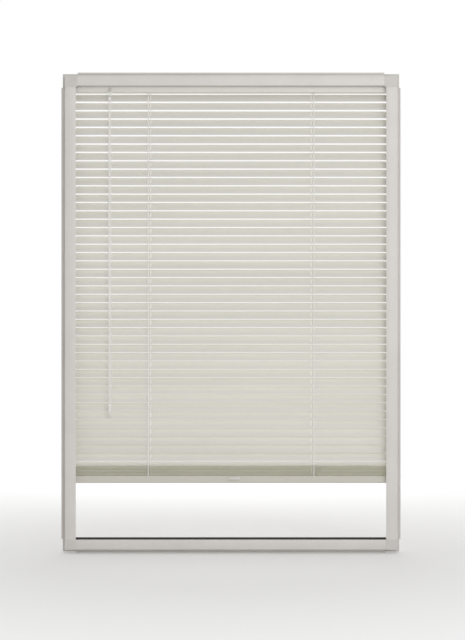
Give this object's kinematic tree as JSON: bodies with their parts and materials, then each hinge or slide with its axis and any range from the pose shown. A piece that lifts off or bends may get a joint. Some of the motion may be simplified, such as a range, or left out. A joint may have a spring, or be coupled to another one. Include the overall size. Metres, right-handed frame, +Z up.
{
  "type": "framed venetian blind",
  "caption": "Clip-in window frame holding a venetian blind: wand-tilted cambered slats on ladder cords, sprung bottom rail in side guides, moulded corners and a headrail with worm tilter.",
  "frame": {"origin": "middle of the top profile's back face, which goes against the window sash", "axes": "+Y out of the back towards the window, +Z up, +X to the right seen from the room"},
  "size_m": [0.8516, 0.0582, 1.2056],
  "materials": {
    "frame_plastic": "satin",
    "corner_plastic": "satin",
    "seal_rubber": "matte",
    "clip_plastic": "satin",
    "headrail_paint": "satin",
    "fitting_plastic": "satin",
    "unit_plastic": "satin",
    "cord": "matte",
    "rod_metal": "satin",
    "gear_plastic": "satin",
    "wand_clear": "gloss",
    "rail_paint": "satin",
    "slat_paint": "satin"
  },
  "bodies": {
    "frame": {"frame_profiles": "frame_plastic", "seal_strip": "seal_rubber", "corner_blocks": "corner_plastic", "window_clips": "clip_plastic", "headrail": "headrail_paint", "headrail_fittings": "fitting_plastic", "lift_spring_unit": "unit_plastic", "cords": "cord"},
    "tilt_shaft": {"tilt_rod": "rod_metal", "tilter_gear": "gear_plastic", "ladder_drums": "gear_plastic"},
    "worm": {"tilter_worm": "gear_plastic"},
    "wand": {"tilt_wand": "wand_clear"},
    "lift_rail": {"bottom_rail": "rail_paint", "bottom_rail_fittings": "fitting_plastic", "slat_stack": "slat_paint"},
    "slat_01": {"slat_01": "slat_paint"},
    "slat_02": {"slat_02": "slat_paint"},
    "slat_03": {"slat_03": "slat_paint"},
    "slat_04": {"slat_04": "slat_paint"},
    "slat_05": {"slat_05": "slat_paint"},
    "slat_06": {"slat_06": "slat_paint"},
    "slat_07": {"slat_07": "slat_paint"},
    "slat_08": {"slat_08": "slat_paint"},
    "slat_09": {"slat_09": "slat_paint"},
    "slat_10": {"slat_10": "slat_paint"},
    "slat_11": {"slat_11": "slat_paint"},
    "slat_12": {"slat_12": "slat_paint"},
    "slat_13": {"slat_13": "slat_paint"},
    "slat_14": {"slat_14": "slat_paint"},
    "slat_15": {"slat_15": "slat_paint"},
    "slat_16": {"slat_16": "slat_paint"},
    "slat_17": {"slat_17": "slat_paint"},
    "slat_18": {"slat_18": "slat_paint"},
    "slat_19": {"slat_19": "slat_paint"},
    "slat_20": {"slat_20": "slat_paint"},
    "slat_21": {"slat_21": "slat_paint"},
    "slat_22": {"slat_22": "slat_paint"},
    "slat_23": {"slat_23": "slat_paint"},
    "slat_24": {"slat_24": "slat_paint"},
    "slat_25": {"slat_25": "slat_paint"},
    "slat_26": {"slat_26": "slat_paint"},
    "slat_27": {"slat_27": "slat_paint"},
    "slat_28": {"slat_28": "slat_paint"},
    "slat_29": {"slat_29": "slat_paint"},
    "slat_30": {"slat_30": "slat_paint"},
    "slat_31": {"slat_31": "slat_paint"},
    "slat_32": {"slat_32": "slat_paint"},
    "slat_33": {"slat_33": "slat_paint"},
    "slat_34": {"slat_34": "slat_paint"},
    "slat_35": {"slat_35": "slat_paint"},
    "slat_36": {"slat_36": "slat_paint"},
    "slat_37": {"slat_37": "slat_paint"},
    "slat_38": {"slat_38": "slat_paint"},
    "slat_39": {"slat_39": "slat_paint"},
    "slat_40": {"slat_40": "slat_paint"},
    "slat_41": {"slat_41": "slat_paint"},
    "slat_42": {"slat_42": "slat_paint"},
    "slat_43": {"slat_43": "slat_paint"},
    "slat_44": {"slat_44": "slat_paint"}
  },
  "joints": [
    {"name": "tilt", "type": "hinge", "parent": "frame", "child": "tilt_shaft", "pos_m": [-0.304, -0.014, -0.0265], "axis": [1, 0, 0], "range_deg": [-120.2, 19.8]},
    {"name": "worm_spin", "type": "hinge", "parent": "frame", "child": "worm", "pos_m": [-0.304, -0.02104, -0.02157], "axis": [0, -0.5736, -0.8192], "range_deg": [-316.8, 1923.2]},
    {"name": "wand_spin", "type": "hinge", "parent": "frame", "child": "wand", "pos_m": [-0.304, -0.0332, -0.03893], "axis": [0, 0, -1], "range_deg": [-316.8, 1923.2]},
    {"name": "rail_lift", "type": "slide", "parent": "frame", "child": "lift_rail", "axis": [0, 0, 1], "range_m": [-0.135, 0], "deforming": ["cords"]},
    {"name": "slat_01_tilt", "type": "hinge", "parent": "frame", "child": "slat_01", "pos_m": [0, -0.014, -0.0502], "axis": [1, 0, 0], "range_deg": [-120.2, 19.8]},
    {"name": "slat_02_tilt", "type": "hinge", "parent": "frame", "child": "slat_02", "pos_m": [0, -0.014, -0.0712], "axis": [1, 0, 0], "range_deg": [-120.2, 19.8]},
    {"name": "slat_03_tilt", "type": "hinge", "parent": "frame", "child": "slat_03", "pos_m": [0, -0.014, -0.0922], "axis": [1, 0, 0], "range_deg": [-120.2, 19.8]},
    {"name": "slat_04_tilt", "type": "hinge", "parent": "frame", "child": "slat_04", "pos_m": [0, -0.014, -0.1132], "axis": [1, 0, 0], "range_deg": [-120.2, 19.8]},
    {"name": "slat_05_tilt", "type": "hinge", "parent": "frame", "child": "slat_05", "pos_m": [0, -0.014, -0.1342], "axis": [1, 0, 0], "range_deg": [-120.2, 19.8]},
    {"name": "slat_06_tilt", "type": "hinge", "parent": "frame", "child": "slat_06", "pos_m": [0, -0.014, -0.1552], "axis": [1, 0, 0], "range_deg": [-120.2, 19.8]},
    {"name": "slat_07_tilt", "type": "hinge", "parent": "frame", "child": "slat_07", "pos_m": [0, -0.014, -0.1762], "axis": [1, 0, 0], "range_deg": [-120.2, 19.8]},
    {"name": "slat_08_tilt", "type": "hinge", "parent": "frame", "child": "slat_08", "pos_m": [0, -0.014, -0.1972], "axis": [1, 0, 0], "range_deg": [-120.2, 19.8]},
    {"name": "slat_09_tilt", "type": "hinge", "parent": "frame", "child": "slat_09", "pos_m": [0, -0.014, -0.2182], "axis": [1, 0, 0], "range_deg": [-120.2, 19.8]},
    {"name": "slat_10_tilt", "type": "hinge", "parent": "frame", "child": "slat_10", "pos_m": [0, -0.014, -0.2392], "axis": [1, 0, 0], "range_deg": [-120.2, 19.8]},
    {"name": "slat_11_tilt", "type": "hinge", "parent": "frame", "child": "slat_11", "pos_m": [0, -0.014, -0.2602], "axis": [1, 0, 0], "range_deg": [-120.2, 19.8]},
    {"name": "slat_12_tilt", "type": "hinge", "parent": "frame", "child": "slat_12", "pos_m": [0, -0.014, -0.2812], "axis": [1, 0, 0], "range_deg": [-120.2, 19.8]},
    {"name": "slat_13_tilt", "type": "hinge", "parent": "frame", "child": "slat_13", "pos_m": [0, -0.014, -0.3022], "axis": [1, 0, 0], "range_deg": [-120.2, 19.8]},
    {"name": "slat_14_tilt", "type": "hinge", "parent": "frame", "child": "slat_14", "pos_m": [0, -0.014, -0.3232], "axis": [1, 0, 0], "range_deg": [-120.2, 19.8]},
    {"name": "slat_15_tilt", "type": "hinge", "parent": "frame", "child": "slat_15", "pos_m": [0, -0.014, -0.3442], "axis": [1, 0, 0], "range_deg": [-120.2, 19.8]},
    {"name": "slat_16_tilt", "type": "hinge", "parent": "frame", "child": "slat_16", "pos_m": [0, -0.014, -0.3652], "axis": [1, 0, 0], "range_deg": [-120.2, 19.8]},
    {"name": "slat_17_tilt", "type": "hinge", "parent": "frame", "child": "slat_17", "pos_m": [0, -0.014, -0.3862], "axis": [1, 0, 0], "range_deg": [-120.2, 19.8]},
    {"name": "slat_18_tilt", "type": "hinge", "parent": "frame", "child": "slat_18", "pos_m": [0, -0.014, -0.4072], "axis": [1, 0, 0], "range_deg": [-120.2, 19.8]},
    {"name": "slat_19_tilt", "type": "hinge", "parent": "frame", "child": "slat_19", "pos_m": [0, -0.014, -0.4282], "axis": [1, 0, 0], "range_deg": [-120.2, 19.8]},
    {"name": "slat_20_tilt", "type": "hinge", "parent": "frame", "child": "slat_20", "pos_m": [0, -0.014, -0.4492], "axis": [1, 0, 0], "range_deg": [-120.2, 19.8]},
    {"name": "slat_21_tilt", "type": "hinge", "parent": "frame", "child": "slat_21", "pos_m": [0, -0.014, -0.4702], "axis": [1, 0, 0], "range_deg": [-120.2, 19.8]},
    {"name": "slat_22_tilt", "type": "hinge", "parent": "frame", "child": "slat_22", "pos_m": [0, -0.014, -0.4912], "axis": [1, 0, 0], "range_deg": [-120.2, 19.8]},
    {"name": "slat_23_tilt", "type": "hinge", "parent": "frame", "child": "slat_23", "pos_m": [0, -0.014, -0.5122], "axis": [1, 0, 0], "range_deg": [-120.2, 19.8]},
    {"name": "slat_24_tilt", "type": "hinge", "parent": "frame", "child": "slat_24", "pos_m": [0, -0.014, -0.5332], "axis": [1, 0, 0], "range_deg": [-120.2, 19.8]},
    {"name": "slat_25_tilt", "type": "hinge", "parent": "frame", "child": "slat_25", "pos_m": [0, -0.014, -0.5542], "axis": [1, 0, 0], "range_deg": [-120.2, 19.8]},
    {"name": "slat_26_tilt", "type": "hinge", "parent": "frame", "child": "slat_26", "pos_m": [0, -0.014, -0.5752], "axis": [1, 0, 0], "range_deg": [-120.2, 19.8]},
    {"name": "slat_27_tilt", "type": "hinge", "parent": "frame", "child": "slat_27", "pos_m": [0, -0.014, -0.5962], "axis": [1, 0, 0], "range_deg": [-120.2, 19.8]},
    {"name": "slat_28_tilt", "type": "hinge", "parent": "frame", "child": "slat_28", "pos_m": [0, -0.014, -0.6172], "axis": [1, 0, 0], "range_deg": [-120.2, 19.8]},
    {"name": "slat_29_tilt", "type": "hinge", "parent": "frame", "child": "slat_29", "pos_m": [0, -0.014, -0.6382], "axis": [1, 0, 0], "range_deg": [-120.2, 19.8]},
    {"name": "slat_30_tilt", "type": "hinge", "parent": "frame", "child": "slat_30", "pos_m": [0, -0.014, -0.6592], "axis": [1, 0, 0], "range_deg": [-120.2, 19.8]},
    {"name": "slat_31_tilt", "type": "hinge", "parent": "frame", "child": "slat_31", "pos_m": [0, -0.014, -0.6802], "axis": [1, 0, 0], "range_deg": [-120.2, 19.8]},
    {"name": "slat_32_tilt", "type": "hinge", "parent": "frame", "child": "slat_32", "pos_m": [0, -0.014, -0.7012], "axis": [1, 0, 0], "range_deg": [-120.2, 19.8]},
    {"name": "slat_33_tilt", "type": "hinge", "parent": "frame", "child": "slat_33", "pos_m": [0, -0.014, -0.7222], "axis": [1, 0, 0], "range_deg": [-120.2, 19.8]},
    {"name": "slat_34_tilt", "type": "hinge", "parent": "frame", "child": "slat_34", "pos_m": [0, -0.014, -0.7432], "axis": [1, 0, 0], "range_deg": [-120.2, 19.8]},
    {"name": "slat_35_tilt", "type": "hinge", "parent": "frame", "child": "slat_35", "pos_m": [0, -0.014, -0.7642], "axis": [1, 0, 0], "range_deg": [-120.2, 19.8]},
    {"name": "slat_36_tilt", "type": "hinge", "parent": "frame", "child": "slat_36", "pos_m": [0, -0.014, -0.7852], "axis": [1, 0, 0], "range_deg": [-120.2, 19.8]},
    {"name": "slat_37_tilt", "type": "hinge", "parent": "frame", "child": "slat_37", "pos_m": [0, -0.014, -0.8062], "axis": [1, 0, 0], "range_deg": [-120.2, 19.8]},
    {"name": "slat_38_tilt", "type": "hinge", "parent": "frame", "child": "slat_38", "pos_m": [0, -0.014, -0.8272], "axis": [1, 0, 0], "range_deg": [-120.2, 19.8]},
    {"name": "slat_39_tilt", "type": "hinge", "parent": "frame", "child": "slat_39", "pos_m": [0, -0.014, -0.8482], "axis": [1, 0, 0], "range_deg": [-120.2, 19.8]},
    {"name": "slat_40_tilt", "type": "hinge", "parent": "frame", "child": "slat_40", "pos_m": [0, -0.014, -0.8692], "axis": [1, 0, 0], "range_deg": [-120.2, 19.8]},
    {"name": "slat_41_tilt", "type": "hinge", "parent": "frame", "child": "slat_41", "pos_m": [0, -0.014, -0.8902], "axis": [1, 0, 0], "range_deg": [-120.2, 19.8]},
    {"name": "slat_42_tilt", "type": "hinge", "parent": "frame", "child": "slat_42", "pos_m": [0, -0.014, -0.9112], "axis": [1, 0, 0], "range_deg": [-120.2, 19.8]},
    {"name": "slat_43_tilt", "type": "hinge", "parent": "frame", "child": "slat_43", "pos_m": [0, -0.014, -0.9322], "axis": [1, 0, 0], "range_deg": [-120.2, 19.8]},
    {"name": "slat_44_tilt", "type": "hinge", "parent": "frame", "child": "slat_44", "pos_m": [0, -0.014, -0.9532], "axis": [1, 0, 0], "range_deg": [-120.2, 19.8]}
  ],
  "couplings": [
    {"joint": "worm_spin", "follows": "tilt", "ratio": -16},
    {"joint": "wand_spin", "follows": "tilt", "ratio": -16},
    {"joint": "slat_01_tilt", "follows": "tilt", "ratio": 1},
    {"joint": "slat_02_tilt", "follows": "tilt", "ratio": 1},
    {"joint": "slat_03_tilt", "follows": "tilt", "ratio": 1},
    {"joint": "slat_04_tilt", "follows": "tilt", "ratio": 1},
    {"joint": "slat_05_tilt", "follows": "tilt", "ratio": 1},
    {"joint": "slat_06_tilt", "follows": "tilt", "ratio": 1},
    {"joint": "slat_07_tilt", "follows": "tilt", "ratio": 1},
    {"joint": "slat_08_tilt", "follows": "tilt", "ratio": 1},
    {"joint": "slat_09_tilt", "follows": "tilt", "ratio": 1},
    {"joint": "slat_10_tilt", "follows": "tilt", "ratio": 1},
    {"joint": "slat_11_tilt", "follows": "tilt", "ratio": 1},
    {"joint": "slat_12_tilt", "follows": "tilt", "ratio": 1},
    {"joint": "slat_13_tilt", "follows": "tilt", "ratio": 1},
    {"joint": "slat_14_tilt", "follows": "tilt", "ratio": 1},
    {"joint": "slat_15_tilt", "follows": "tilt", "ratio": 1},
    {"joint": "slat_16_tilt", "follows": "tilt", "ratio": 1},
    {"joint": "slat_17_tilt", "follows": "tilt", "ratio": 1},
    {"joint": "slat_18_tilt", "follows": "tilt", "ratio": 1},
    {"joint": "slat_19_tilt", "follows": "tilt", "ratio": 1},
    {"joint": "slat_20_tilt", "follows": "tilt", "ratio": 1},
    {"joint": "slat_21_tilt", "follows": "tilt", "ratio": 1},
    {"joint": "slat_22_tilt", "follows": "tilt", "ratio": 1},
    {"joint": "slat_23_tilt", "follows": "tilt", "ratio": 1},
    {"joint": "slat_24_tilt", "follows": "tilt", "ratio": 1},
    {"joint": "slat_25_tilt", "follows": "tilt", "ratio": 1},
    {"joint": "slat_26_tilt", "follows": "tilt", "ratio": 1},
    {"joint": "slat_27_tilt", "follows": "tilt", "ratio": 1},
    {"joint": "slat_28_tilt", "follows": "tilt", "ratio": 1},
    {"joint": "slat_29_tilt", "follows": "tilt", "ratio": 1},
    {"joint": "slat_30_tilt", "follows": "tilt", "ratio": 1},
    {"joint": "slat_31_tilt", "follows": "tilt", "ratio": 1},
    {"joint": "slat_32_tilt", "follows": "tilt", "ratio": 1},
    {"joint": "slat_33_tilt", "follows": "tilt", "ratio": 1},
    {"joint": "slat_34_tilt", "follows": "tilt", "ratio": 1},
    {"joint": "slat_35_tilt", "follows": "tilt", "ratio": 1},
    {"joint": "slat_36_tilt", "follows": "tilt", "ratio": 1},
    {"joint": "slat_37_tilt", "follows": "tilt", "ratio": 1},
    {"joint": "slat_38_tilt", "follows": "tilt", "ratio": 1},
    {"joint": "slat_39_tilt", "follows": "tilt", "ratio": 1},
    {"joint": "slat_40_tilt", "follows": "tilt", "ratio": 1},
    {"joint": "slat_41_tilt", "follows": "tilt", "ratio": 1},
    {"joint": "slat_42_tilt", "follows": "tilt", "ratio": 1},
    {"joint": "slat_43_tilt", "follows": "tilt", "ratio": 1},
    {"joint": "slat_44_tilt", "follows": "tilt", "ratio": 1}
  ]
}
